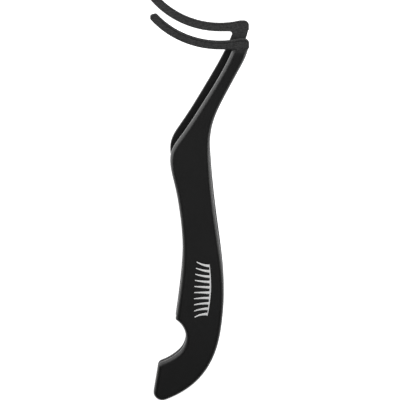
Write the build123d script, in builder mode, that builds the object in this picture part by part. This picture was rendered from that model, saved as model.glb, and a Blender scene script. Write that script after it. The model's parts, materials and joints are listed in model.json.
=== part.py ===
from build123d import *
from math import cos, radians
import os

# Tweezer-type eyelash curler: two mirrored sprung arms, joined at the tail, with eyelid-curved jaws.
# The row frame: +Z up, +Y from the tail towards the jaws, +X away from the jaws' free tips.
# The tool lies on the flat outer face of its lower arm, and the origin is under its middle.

os.makedirs("parts", exist_ok=True)

# Driving dimensions, in millimetres and degrees
half_length = 64.9        # from the origin to the tail's end
arm_thickness = 2.1
arm_rounding = 1.35       # round along the outer edges of handle and neck
edge_break = 0.2          # small chamfer round the flat inner faces
opening_angle = 7.1       # between the arms when the tool is at rest
joint_gap = 0.1           # between the two tails
hinge_along = 9.0         # from the tail's end to the line where the arms part

lobe_radius = 1.6         # the tail's corner beside the finger notch
tail_radius = 2.7         # the tail's end corner
notch_across = -10.95     # centre of the finger notch
notch_along = 21.0
notch_radius = 6.7
notch_corner_radius = 0.5

jaw_width = 2.4
jaw_rounding = 0.7        # round along the outer edges of jaw and head
jaw_radius = 26.2         # the eyelid curve, on the middle of the jaw
jaw_low_across = 6.2      # where that curve comes nearest to the tail
jaw_low_along = 119.57
jaw_front_angle = 50.6    # from there to the free tip, round the edge that faces the tail
jaw_back_angle = 50.6     # and round the other edge
jaw_tip_across = -15.0
jaw_tip_along = 129.3
jaw_tip_radius = 0.75
head_across = 15.0        # the far side of the head, where the jaw meets the neck
head_along = 121.55
head_angle = 13.9         # where the jaw's back edge runs into the head
head_back_radius = 1.6
head_front_radius = 0.8

pad_width = 1.4
pad_groove_depth = 0.6
pad_height = 0.9          # so the pad stands 0.3 out of the jaw
pad_tip_angle = 46.5
pad_root_angle = 3.0

pin_radius = 0.8
pin_reach = 1.0           # into each arm from the joint
pin_clearance = 0.25      # round the pins in the upper arm, which turns a little about the hinge line
pin_places = ((-9.0, 4.6), (-4.6, 5.6))


def plan(across, along):
    """A point of the plan: across from the middle, along from the tail's end."""
    return (across, along - half_length)


def eyelid_arc(radius, tip_angle, root_angle, mode=Mode.ADD):
    """An arc round the eyelid's centre, from tip_angle before its lowest point to root_angle beyond it."""
    centre = plan(jaw_low_across, jaw_low_along + jaw_radius)
    return CenterArc(centre, radius, -90 - tip_angle, tip_angle + root_angle, mode=mode)


def pad_band():
    """The outline of the pad and its groove, a slot along the eyelid curve."""
    curve = eyelid_arc(jaw_radius, pad_tip_angle, pad_root_angle, mode=Mode.PRIVATE)
    return SlotArc(curve, pad_width, mode=Mode.PRIVATE)


# The parting plane between the two tails, tilted by half the opening angle
hinge_y = hinge_along - half_length
hinge_z = arm_thickness + joint_gap / 2 / cos(radians(opening_angle / 2))
parting_plane = Plane((0, hinge_y, hinge_z)).rotated((opening_angle / 2, 0, 0))

# Handle and neck of an arm, seen from above; the neck ends inside the head
tail_corner = plan(-14.83, -1.42)
lobe_corner = plan(-12.66, 12.35)
notch_corner = plan(-7.4, 27.4)
neck_outer_end = plan(14.85, 119.2)
neck_inner_end = plan(10.85, 120.3)

with BuildSketch() as arm_plan:
    with BuildLine():
        Spline(
            tail_corner,
            plan(-8.0, 1.1),
            plan(-1.2, 6.05),
            plan(4.5, 15.3),
            plan(6.93, 27.2),
            plan(7.45, 36.0),
            plan(5.5, 57.3),
            plan(3.25, 80.5),
            plan(3.8, 92.6),
            plan(8.3, 104.0),
            plan(11.9, 111.3),
            plan(13.7, 115.1),
            neck_outer_end,
        )
        Line(neck_outer_end, neck_inner_end)
        Spline(
            neck_inner_end,
            plan(2.2, 102.2),
            plan(-5.7, 89.1),
            plan(-8.75, 83.3),
            plan(-8.75, 78.3),
            plan(-7.4, 71.8),
            plan(-6.2, 64.5),
            plan(-5.2, 51.0),
            plan(-6.15, 37.0),
            notch_corner,
        )
        notch = ThreePointArc(
            notch_corner, plan(notch_across + notch_radius, notch_along), plan(-6.6, 15.9)
        )
        TangentArc(notch @ 1, lobe_corner, tangent=notch % 1)
        Line(lobe_corner, tail_corner)
    make_face()
    for corner, radius in ((tail_corner, tail_radius), (lobe_corner, lobe_radius)):
        fillet(arm_plan.vertices().sort_by_distance(corner)[0], radius)

# Jaw and head, seen from above
with BuildSketch() as jaw_plan:
    with BuildLine():
        front_edge = eyelid_arc(jaw_radius + jaw_width / 2, jaw_front_angle, 0)
        back_edge = eyelid_arc(jaw_radius - jaw_width / 2, jaw_back_angle, head_angle)
        jaw_tip = plan(jaw_tip_across, jaw_tip_along)
        Polyline(front_edge @ 0, jaw_tip, back_edge @ 0)
        head_back_corner = plan(head_across, head_along)
        head_front_corner = plan(head_across, jaw_low_along - jaw_width / 2)
        Polyline(back_edge @ 1, head_back_corner, head_front_corner, front_edge @ 1)
    make_face()
    for corner, radius in (
        (front_edge @ 0, jaw_tip_radius),
        (jaw_tip, jaw_tip_radius),
        (back_edge @ 0, jaw_tip_radius),
        (head_back_corner, head_back_radius),
        (head_front_corner, head_front_radius),
    ):
        fillet(jaw_plan.vertices().sort_by_distance(corner)[0], radius)

# The web that fills the corner between jaw and neck, reaching a little way into both
with BuildSketch() as web_plan:
    with BuildLine():
        web_curve = ThreePointArc(plan(9.0, 118.5), plan(9.74, 118.06), plan(10.0, 117.1))
        Polyline(web_curve @ 1, plan(10.6, 117.1), plan(10.8, 118.9), web_curve @ 0)
    make_face()

with BuildPart() as jaw:
    extrude(jaw_plan.sketch, amount=arm_thickness)
    fillet(jaw.faces().sort_by(Axis.Z)[0].edges(), jaw_rounding)
    chamfer(jaw.faces().sort_by(Axis.Z)[-1].edges(), edge_break)

# One arm as it lies: the outer face down, the inner face up, the tail cut to the parting plane
with BuildPart() as arm_blank:
    extrude(arm_plan.sketch, amount=arm_thickness)
    fillet(arm_blank.faces().sort_by(Axis.Z)[0].edges(), arm_rounding)
    chamfer(arm_blank.faces().sort_by(Axis.Z)[-1].edges(), edge_break)
    add(jaw.part)
    with BuildSketch(Plane.XY.offset(jaw_rounding)):
        add(web_plan.sketch)
    extrude(amount=arm_thickness - jaw_rounding)
    notch_edges = arm_blank.edges().filter_by(Axis.Z).sort_by_distance(notch_corner)
    fillet(notch_edges[0], notch_corner_radius)
    split(bisect_by=parting_plane.offset(-joint_gap / 2), keep=Keep.BOTTOM)

pin_points = [parting_plane.to_local_coords(Vector(*plan(*place), hinge_z)) for place in pin_places]

with BuildPart() as lower_arm:
    add(arm_blank.part)
    with BuildSketch(parting_plane):
        with Locations(*[(point.X, point.Y) for point in pin_points]):
            Circle(pin_radius)
    extrude(amount=-pin_reach, mode=Mode.SUBTRACT)

# The groove and the pad as they would lie in the lower arm; the upper arm holds their mirror image
with BuildPart() as groove_blank:
    with BuildSketch(Plane.XY.offset(arm_thickness)):
        add(pad_band())
    extrude(amount=-pad_groove_depth)

with BuildPart() as pad_blank:
    with BuildSketch(Plane.XY.offset(arm_thickness - pad_groove_depth)):
        add(pad_band())
    extrude(amount=pad_height)
    fillet(pad_blank.faces().sort_by(Axis.Z)[-1].edges(), edge_break)

with BuildPart() as upper_arm:
    mirror(arm_blank.part, about=parting_plane)
    mirror(groove_blank.part, about=parting_plane, mode=Mode.SUBTRACT)
    with BuildSketch(parting_plane):
        with Locations(*[(point.X, point.Y) for point in pin_points]):
            Circle(pin_radius + pin_clearance)
    extrude(amount=pin_reach + pin_clearance, mode=Mode.SUBTRACT)

with BuildPart() as jaw_pad:
    mirror(pad_blank.part, about=parting_plane)

with BuildPart() as tail_pins:
    with BuildSketch(parting_plane):
        with Locations(*[(point.X, point.Y) for point in pin_points]):
            Circle(pin_radius)
    extrude(amount=pin_reach, both=True)
    chamfer(tail_pins.edges().filter_by(GeomType.CIRCLE), edge_break)

for name, piece in {
    "lower_arm": lower_arm,
    "upper_arm": upper_arm,
    "jaw_pad": jaw_pad,
    "tail_pins": tail_pins,
}.items():
    piece.part.label = name
    export_step(piece.part, f"parts/{name}.step")
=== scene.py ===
# The looks of the tweezer-type eyelash curler: the row frame lies on its lower arm, +Y towards the jaws.
# Lengths are in metres, and angles in radians where they aren't named degrees.
import json
from math import acos, asin, cos, pi, radians, sin, sqrt

import bmesh
import bpy
from mathutils import Matrix, Vector


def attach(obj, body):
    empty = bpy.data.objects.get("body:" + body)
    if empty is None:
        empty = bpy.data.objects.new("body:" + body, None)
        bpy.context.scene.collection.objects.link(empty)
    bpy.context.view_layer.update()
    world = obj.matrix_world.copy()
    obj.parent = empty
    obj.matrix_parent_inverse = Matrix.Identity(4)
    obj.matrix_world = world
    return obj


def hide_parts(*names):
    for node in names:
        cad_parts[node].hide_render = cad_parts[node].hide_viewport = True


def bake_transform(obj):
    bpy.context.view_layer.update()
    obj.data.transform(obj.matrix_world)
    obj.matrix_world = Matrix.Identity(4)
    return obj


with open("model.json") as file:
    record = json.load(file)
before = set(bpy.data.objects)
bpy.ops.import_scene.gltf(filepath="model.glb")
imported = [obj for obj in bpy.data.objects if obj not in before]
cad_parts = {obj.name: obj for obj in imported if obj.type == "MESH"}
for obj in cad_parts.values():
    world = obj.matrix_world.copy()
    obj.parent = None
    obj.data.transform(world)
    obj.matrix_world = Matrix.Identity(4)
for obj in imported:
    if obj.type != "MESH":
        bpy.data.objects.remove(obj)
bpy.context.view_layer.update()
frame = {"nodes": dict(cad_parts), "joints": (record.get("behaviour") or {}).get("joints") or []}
nodes = frame["nodes"]

MM = 0.001
GROUND_GAP = 0.02 * MM         # between the floor and the face that rests on it

VIEW_TILT = radians(18)        # of the camera from straight above, towards the jaws
VIEW_HEIGHT = 122.4 * MM       # what the camera takes in at the object
VIEW_CENTRE = (0.11 * MM, -1.0 * MM)
LENS = 850                     # millimetres, so that the view is nearly parallel
SENSOR = 36

# Softboxes: place, width, height and watts
LEFT_SOFTBOX = ((-0.085, 0.024, 0.032), 0.124, 0.06, 0.062)
RIGHT_SOFTBOX = ((0.13, -0.03, 0.045), 0.06, 0.07, 0.054)
TAIL_SOFTBOX = ((0, -0.19, 0.30), 0.14, 0.10, 0.036)
JAW_SOFTBOX = ((0.05, 0.17, 0.30), 0.10, 0.08, 0.70)
SKY_STRENGTH = 0.06
FLOOR_GLOW = 0.95
FLOOR_REACH = 1.5              # from its middle to its edges

HINGE = Vector(frame["joints"][0]["pos_m"])
BEND_TAIL_SIDE = 7.0 * MM      # the arm bends from here, on the hinge line's tail side,
BEND_JAW_SIDE = 9.0 * MM       # to here, on its jaw side
BEND_STEP = 1.0 * MM           # between the cuts across the arm near the tail
MERGE_REACH = 0.001 * MM       # points nearer to each other than this are one
ARM_CREASE = radians(28)       # sharper edges than this stay sharp
PIECE_CREASE = radians(50)

JAW_MATTE_AND_PAINTED_LIGHT_START = 50.5 * MM   # along +Y: from here the arms' faces turn from smooth to sandblasted matte, and their faces take a paler painted colour that stands in for the light the jaws catch, and are so from here on
JAW_MATTE_AND_PAINTED_LIGHT_END = 53.5 * MM     # and are so from here on

PAD_CURVE_RADIUS = 26.2 * MM   # the eyelid curve along the middle of the pad
PAD_HALF_WIDTH = 0.7 * MM
PAD_STATIONS = 72
PAD_CAP_SHARE = 0.99           # of each round end, so that it isn't drawn out to a point

MOTIF_PLACE = (0.45 * MM, -27.4 * MM)
MOTIF_LEAN = radians(-2)
MOTIF_LENGTH = 17.4 * MM
LID_SIDE = 2.2 * MM            # from the motif's middle to the ends of its lid line
LID_BOW = 0.6 * MM
LID_END = 0.07 * MM            # half the lid line's width at its ends,
LID_SWELL = 0.15 * MM          # and how much more it is in the middle
LID_STEPS = 24
LASH_COUNT = 10
LASH_SPREAD = 0.94             # the share of the lid line that the lashes stand on
LASH_LENGTH = 4.9 * MM
LASH_SHORTENING = 0.22         # of the outermost lashes
LASH_FAN = 1.3 * MM            # how far the outermost lash's tip leans outwards
LASH_ROOT = 0.50 * MM          # half a lash's width at its root,
LASH_TAPER = 0.34 * MM         # and how much less it is at the tip
LASH_STEPS = 10
INK_HEIGHT = 0.03 * MM
INK_SINK = 0.02 * MM


# ---------------------------------------------------------------- node helpers

class Nodes:
    """A short way to write a node tree."""

    def __init__(self, tree):
        self.tree = tree
        tree.nodes.clear()

    def add(self, kind, **settings):
        node = self.tree.nodes.new(kind)
        for name, value in settings.items():
            setattr(node, name, value)
        return node

    def join(self, source, target):
        self.tree.links.new(source, target)

    def noise(self, coordinates, scale, detail=3.0, roughness=0.5):
        node = self.add("ShaderNodeTexNoise")
        node.inputs["Scale"].default_value = scale
        node.inputs["Detail"].default_value = detail
        node.inputs["Roughness"].default_value = roughness
        self.join(coordinates, node.inputs["Vector"])
        return node.outputs["Fac"]

    def ramp(self, value, low, high, to_low=0.0, to_high=1.0):
        node = self.add("ShaderNodeMapRange", interpolation_type="SMOOTHSTEP")
        for name, number in (
            ("From Min", low),
            ("From Max", high),
            ("To Min", to_low),
            ("To Max", to_high),
        ):
            node.inputs[name].default_value = number
        self.join(value, node.inputs["Value"])
        return node.outputs["Result"]

    def maths(self, operation, a, b):
        node = self.add("ShaderNodeMath", operation=operation)
        for socket, value in zip(node.inputs, (a, b)):
            if isinstance(value, (int, float)):
                socket.default_value = value
            else:
                self.join(value, socket)
        return node.outputs["Value"]

    def mix_colour(self, share, low, high):
        node = self.add("ShaderNodeMix", data_type="RGBA")
        for name, value in (("Factor", share), ("A", low), ("B", high)):
            socket = next(s for s in node.inputs if s.name == name and s.enabled)
            if isinstance(value, tuple):
                socket.default_value = (*value, 1.0)
            else:
                self.join(value, socket)
        return next(s for s in node.outputs if s.enabled)

    def stretched(self, coordinates, scale):
        node = self.add("ShaderNodeMapping")
        node.inputs["Scale"].default_value = scale
        self.join(coordinates, node.inputs["Vector"])
        return node.outputs["Vector"]

    def bump(self, height, distance, under=None):
        node = self.add("ShaderNodeBump")
        node.inputs["Distance"].default_value = distance
        node.inputs["Strength"].default_value = 1.0
        self.join(height, node.inputs["Height"])
        if under is not None:
            self.join(under, node.inputs["Normal"])
        return node.outputs["Normal"]


def new_material(name):
    """A material with its Nodes, its Principled shader and its texture coordinates."""
    material = bpy.data.materials.new(name)
    material.use_nodes = True
    tree = Nodes(material.node_tree)
    shader = tree.add("ShaderNodeBsdfPrincipled")
    output = tree.add("ShaderNodeOutputMaterial")
    tree.join(shader.outputs["BSDF"], output.inputs["Surface"])
    return material, tree, shader, tree.add("ShaderNodeTexCoord")


def moulded_plastic():
    """Black moulded plastic: fine grain, slow tone changes, worn edges, and matte jaws whose faces are
    painted paler to stand in for the light they catch.
    """
    material, tree, shader, place = new_material("moulded_plastic")
    where = place.outputs["Object"]
    tone = tree.noise(where, 90, 4)
    grain = tree.noise(where, 4200, 2)
    pebble = tree.noise(where, 1300, 2)
    rubbed = tree.noise(tree.stretched(where, (900, 160, 500)), 1.0, 4)
    # mottle of the jaws' paler painted-light colour
    painted_light_mottle = tree.noise(tree.stretched(where, (1500, 2600, 2000)), 1.0, 4, 0.7)

    facing = tree.add("ShaderNodeSeparateXYZ")
    tree.join(place.outputs["Normal"], facing.inputs["Vector"])
    # 1 on a face that lies flat, 0 on an upright wall
    level = tree.maths("ABSOLUTE", facing.outputs["Z"], 0.0)
    edge = tree.ramp(level, 0.93, 0.55)
    worn = tree.maths("MULTIPLY", edge, tree.ramp(rubbed, 0.35, 0.7))
    position = tree.add("ShaderNodeSeparateXYZ")
    tree.join(where, position.inputs["Vector"])
    jaw = tree.ramp(position.outputs["Y"], JAW_MATTE_AND_PAINTED_LIGHT_START, JAW_MATTE_AND_PAINTED_LIGHT_END)
    # Painted light: the jaws' flat faces get the full paler colour and their walls half of it, standing in
    # for the light the jaws catch.
    jaw_painted_light_mask = tree.maths("MULTIPLY", jaw, tree.ramp(level, 0.80, 0.985, 0.5, 1.0))

    base = tree.mix_colour(tree.ramp(tone, 0.3, 0.7), (0.0036, 0.0036, 0.0037), (0.0050, 0.0050, 0.0051))
    base = tree.mix_colour(worn, base, (0.0070, 0.0070, 0.0070))
    # the jaws' paler painted-light colour, which stands in for light and is not a colour of the plastic
    jaw_painted_light = tree.mix_colour(tree.ramp(painted_light_mottle, 0.3, 0.7), (0.025, 0.025, 0.0253), (0.063, 0.063, 0.0633))
    base = tree.mix_colour(jaw_painted_light_mask, base, jaw_painted_light)
    tree.join(base, shader.inputs["Base Color"])

    rough = tree.ramp(grain, 0.3, 0.7, 0.38, 0.46)
    rough = tree.maths("SUBTRACT", rough, tree.maths("MULTIPLY", worn, 0.06))
    rough = tree.maths("ADD", rough, tree.maths("MULTIPLY", jaw, 0.18))
    tree.join(rough, shader.inputs["Roughness"])
    gloss = tree.ramp(jaw, 0.0, 1.0, 0.5, 0.04)
    tree.join(gloss, shader.inputs["Specular IOR Level"])
    relief = tree.bump(pebble, 0.012 * MM)
    relief = tree.bump(grain, 0.008 * MM, under=relief)
    tree.join(relief, shader.inputs["Normal"])
    shader.inputs["IOR"].default_value = 1.5
    return material


def silicone():
    """Dark grey silicone: even tone, a fine bloom and soft sheen."""
    material, tree, shader, place = new_material("silicone")
    where = place.outputs["Object"]
    bloom = tree.noise(where, 700, 4)
    fine = tree.noise(where, 5200, 2)
    tree.join(
        tree.mix_colour(tree.ramp(bloom, 0.3, 0.7), (0.018, 0.018, 0.019), (0.026, 0.026, 0.027)),
        shader.inputs["Base Color"],
    )
    tree.join(tree.ramp(bloom, 0.3, 0.7, 0.56, 0.66), shader.inputs["Roughness"])
    tree.join(tree.bump(fine, 0.006 * MM), shader.inputs["Normal"])
    shader.inputs["IOR"].default_value = 1.43
    shader.inputs["Sheen Weight"].default_value = 0.08
    shader.inputs["Sheen Roughness"].default_value = 0.5
    return material


def brushed_steel():
    """Turned steel of the locating pins: rings round the pin and a soft gloss."""
    material, tree, shader, place = new_material("brushed_steel")
    where = place.outputs["Object"]
    rings = tree.noise(tree.stretched(where, (60, 60, 9000)), 1.0, 3)
    tree.join(
        tree.mix_colour(tree.ramp(rings, 0.3, 0.7), (0.50, 0.50, 0.51), (0.64, 0.64, 0.65)),
        shader.inputs["Base Color"],
    )
    tree.join(tree.ramp(rings, 0.3, 0.7, 0.22, 0.38), shader.inputs["Roughness"])
    tree.join(tree.bump(rings, 0.004 * MM), shader.inputs["Normal"])
    shader.inputs["Metallic"].default_value = 1.0
    return material


def pad_print():
    """Silver-white pad-printed ink: slightly uneven cover and a satin face."""
    material, tree, shader, place = new_material("pad_print")
    where = place.outputs["Object"]
    cover = tree.noise(where, 2600, 4, 0.6)
    tree.join(
        tree.mix_colour(tree.ramp(cover, 0.28, 0.5), (0.74, 0.74, 0.74), (0.95, 0.95, 0.95)),
        shader.inputs["Base Color"],
    )
    tree.join(tree.ramp(cover, 0.3, 0.7, 0.55, 0.42), shader.inputs["Roughness"])
    tree.join(tree.bump(cover, 0.006 * MM), shader.inputs["Normal"])
    return material


# ---------------------------------------------------------------- pieces

def new_piece(name, mesh, material):
    """A new object of one mesh and one material."""
    piece = bpy.data.objects.new(name, mesh)
    bpy.context.scene.collection.objects.link(piece)
    piece.data.materials.append(material)
    return piece


def paint(node, material):
    """Gives a CAD node its finished material."""
    for slot in nodes[node].material_slots:
        slot.material = material


def swept(name, strips, profile, matrix, material):
    """A smooth mesh piece of closed strips.

    A strip is a list of (point, half width) along its middle, in the plane of the matrix.
    The profile is its section, as (share of the half width, height above that plane) pairs.
    """
    shape = bmesh.new()
    for strip in strips:
        rings = []
        for index, (point, half_width) in enumerate(strip):
            before = strip[max(index - 1, 0)][0]
            after = strip[min(index + 1, len(strip) - 1)][0]
            side = (after - before).normalized().orthogonal() * half_width
            corners = [(point + side * share, height) for share, height in profile]
            rings.append([shape.verts.new(matrix @ Vector((*flat, height))) for flat, height in corners])
        for ring, following in zip(rings, rings[1:]):
            for corner in range(len(profile)):
                onward = (corner + 1) % len(profile)
                shape.faces.new((ring[corner], ring[onward], following[onward], following[corner]))
        shape.faces.new(rings[0])
        shape.faces.new(rings[-1])
    bmesh.ops.recalc_face_normals(shape, faces=shape.faces)
    mesh = bpy.data.meshes.new(name)
    shape.to_mesh(mesh)
    shape.free()
    mesh.polygons.foreach_set("use_smooth", [True] * len(mesh.polygons))
    mesh.set_sharp_from_angle(angle=PIECE_CREASE)
    return new_piece(name, mesh, material)


def face_frame(node, across, along):
    """The frame on a node's upper face at a point: X across, Y along the arm and Z out of the face."""
    bpy.context.view_layer.update()
    _, place, normal, _ = nodes[node].ray_cast(Vector((across, along, 1.0)), Vector((0, 0, -1)))
    x_axis = Vector((1, 0, 0))
    axes = Matrix((x_axis, normal.cross(x_axis), normal)).transposed()
    return Matrix.Translation(place) @ axes.to_4x4()


def crowned_pad(arm_frame, material):
    """The silicone pad: a strip along the eyelid curve with round ends and a crowned face."""
    corners = [arm_frame.inverted() @ vertex.co for vertex in nodes["jaw_pad"].data.vertices]
    left, front, crown = (min(corner[axis] for corner in corners) for axis in range(3))
    right, back, root = (max(corner[axis] for corner in corners) for axis in range(3))
    radius = PAD_CURVE_RADIUS
    centre_y = front + PAD_HALF_WIDTH + radius
    tip_angle = acos((centre_y - back + PAD_HALF_WIDTH) / radius)
    centre_x = left + PAD_HALF_WIDTH + radius * sin(tip_angle)
    root_angle = asin((right - PAD_HALF_WIDTH - centre_x) / radius)
    cap_angle = PAD_CAP_SHARE * PAD_HALF_WIDTH / radius
    whole_angle = tip_angle + root_angle + 2 * cap_angle

    strip = []
    for station in range(PAD_STATIONS + 1):
        angle = whole_angle * (1 - cos(pi * station / PAD_STATIONS)) / 2 - tip_angle - cap_angle
        beyond_end = radius * max(-tip_angle - angle, angle - root_angle, 0)
        half_width = PAD_HALF_WIDTH * sqrt(1 - (beyond_end / PAD_HALF_WIDTH) ** 2)
        point = Vector((centre_x + radius * sin(angle), centre_y - radius * cos(angle)))
        strip.append((point, half_width))
    half_profile = (
        (1, root),
        (1, crown + 0.26 * MM),
        (0.95, crown + 0.15 * MM),
        (0.80, crown + 0.07 * MM),
        (0.45, crown + 0.02 * MM),
    )
    profile = [(-share, height) for share, height in half_profile]
    profile.append((0, crown))
    profile.extend(reversed(half_profile))
    pad = swept("jaw_pad_crowned", [strip], profile, arm_frame, material)
    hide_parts("jaw_pad")
    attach(pad, "upper_half")


def lash_motif(arm_frame, material):
    """The print on the handle: a lid line with a fan of lashes."""
    def lid_point(share):
        """A point of the lid line, from -1 at its tail end to 1 at its jaw end."""
        return Vector((LID_SIDE + LID_BOW * (1 - share**2), share * MOTIF_LENGTH / 2))

    lid = []
    for step in range(LID_STEPS + 1):
        share = 2 * step / LID_STEPS - 1
        lid.append((lid_point(share), LID_END + LID_SWELL * (1 - share**2)))
    strips = [lid]
    for lash in range(LASH_COUNT):
        share = LASH_SPREAD * (2 * lash / (LASH_COUNT - 1) - 1)
        root = lid_point(share)
        length = LASH_LENGTH * (1 - LASH_SHORTENING * share**2)
        strip = []
        for step in range(LASH_STEPS + 1):
            reach = step / LASH_STEPS
            point = root + Vector((-length * reach, LASH_FAN * share * reach**2))
            strip.append((point, LASH_ROOT - LASH_TAPER * reach))
        strips.append(strip)
    half_profile = ((1, -INK_SINK), (0.85, 0.7 * INK_HEIGHT))
    profile = [(-share, height) for share, height in half_profile]
    profile.append((0, INK_HEIGHT))
    profile.extend(reversed(half_profile))
    leaning = arm_frame @ Matrix.Rotation(MOTIF_LEAN, 4, "Z")
    motif = swept("lash_motif", strips, profile, leaning, material)
    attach(motif, "upper_half")


def bending_arm(node, material):
    """The upper arm again, its mesh cut at close steps across the arm near the tail, where the sprung
    plastic bends.
    """
    shape = bmesh.new()
    shape.from_mesh(nodes[node].data)
    bmesh.ops.remove_doubles(shape, verts=shape.verts, dist=MERGE_REACH)
    steps = round((BEND_TAIL_SIDE + BEND_JAW_SIDE) / BEND_STEP)
    for step in range(steps + 1):
        bmesh.ops.bisect_plane(
            shape,
            geom=shape.verts[:] + shape.edges[:] + shape.faces[:],
            plane_co=(0, HINGE.y - BEND_TAIL_SIDE + step * BEND_STEP, 0),
            plane_no=(0, 1, 0),
            dist=MERGE_REACH,
        )
    mesh = bpy.data.meshes.new("upper_arm_sprung")
    shape.to_mesh(mesh)
    shape.free()
    mesh.polygons.foreach_set("use_smooth", [True] * len(mesh.polygons))
    mesh.set_sharp_from_angle(angle=ARM_CREASE)
    piece = new_piece("upper_arm_sprung", mesh, material)
    piece.modifiers.new("even_normals", "WEIGHTED_NORMAL").keep_sharp = True
    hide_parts(node)
    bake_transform(piece)


# ---------------------------------------------------------------- camera and studio

def make_camera():
    """The camera, above the object and leaning towards its jaws."""
    data = bpy.data.cameras.new("camera")
    data.lens = LENS
    data.sensor_width = SENSOR
    camera = bpy.data.objects.new("camera", data)
    bpy.context.scene.collection.objects.link(camera)
    away = Vector((0, sin(VIEW_TILT), cos(VIEW_TILT)))
    up = Vector((0, cos(VIEW_TILT), -sin(VIEW_TILT)))
    target = Vector((VIEW_CENTRE[0], 0, 0)) + up * VIEW_CENTRE[1]
    distance = VIEW_HEIGHT * LENS / SENSOR
    camera.location = target + away * distance
    camera.rotation_euler = (-VIEW_TILT, 0, 0)
    data.clip_start = 0.1 * distance
    data.clip_end = 10 * distance
    bpy.context.scene.camera = camera


def softbox(name, place, width, height, power):
    """A rectangular light that faces the object across its length and that the camera doesn't see."""
    data = bpy.data.lights.new(name, "AREA")
    data.shape = "RECTANGLE"
    data.size = width
    data.size_y = height
    data.energy = power
    light = bpy.data.objects.new(name, data)
    light.location = place
    light.rotation_euler = Vector((-place[0], 0, -place[2])).to_track_quat("-Z", "Y").to_euler()
    light.visible_camera = False
    bpy.context.scene.collection.objects.link(light)


def studio():
    """A pale floor lit from below, a low softbox on each side, and high ones past the tail and the jaws."""
    shape = bmesh.new()
    bmesh.ops.create_grid(shape, x_segments=1, y_segments=1, size=FLOOR_REACH)
    mesh = bpy.data.meshes.new("floor")
    shape.to_mesh(mesh)
    shape.free()
    material, tree, shader, place = new_material("pale_floor")
    shade = tree.noise(place.outputs["Object"], 3, 2)
    tree.join(
        tree.mix_colour(shade, (0.80, 0.80, 0.80), (0.84, 0.84, 0.84)), shader.inputs["Base Color"]
    )
    shader.inputs["Roughness"].default_value = 0.9
    shader.inputs["Emission Color"].default_value = (1, 1, 1, 1)
    shader.inputs["Emission Strength"].default_value = FLOOR_GLOW
    floor = new_piece("floor", mesh, material)
    floor.location.z = -GROUND_GAP

    softbox("left_softbox", *LEFT_SOFTBOX)
    softbox("right_softbox", *RIGHT_SOFTBOX)
    softbox("tail_softbox", *TAIL_SOFTBOX)
    softbox("jaw_softbox", *JAW_SOFTBOX)

    world = bpy.data.worlds.new("studio")
    world.use_nodes = True
    background = world.node_tree.nodes["Background"]
    background.inputs["Color"].default_value = (1, 1, 1, 1)
    background.inputs["Strength"].default_value = SKY_STRENGTH
    bpy.context.scene.world = world
    bpy.context.scene.view_settings.view_transform = "Standard"


plastic = moulded_plastic()
paint("lower_arm", plastic)
paint("tail_pins", brushed_steel())
arm_frame = face_frame("upper_arm", *MOTIF_PLACE)
lash_motif(arm_frame, pad_print())
crowned_pad(arm_frame, silicone())
bending_arm("upper_arm", plastic)
make_camera()
studio()
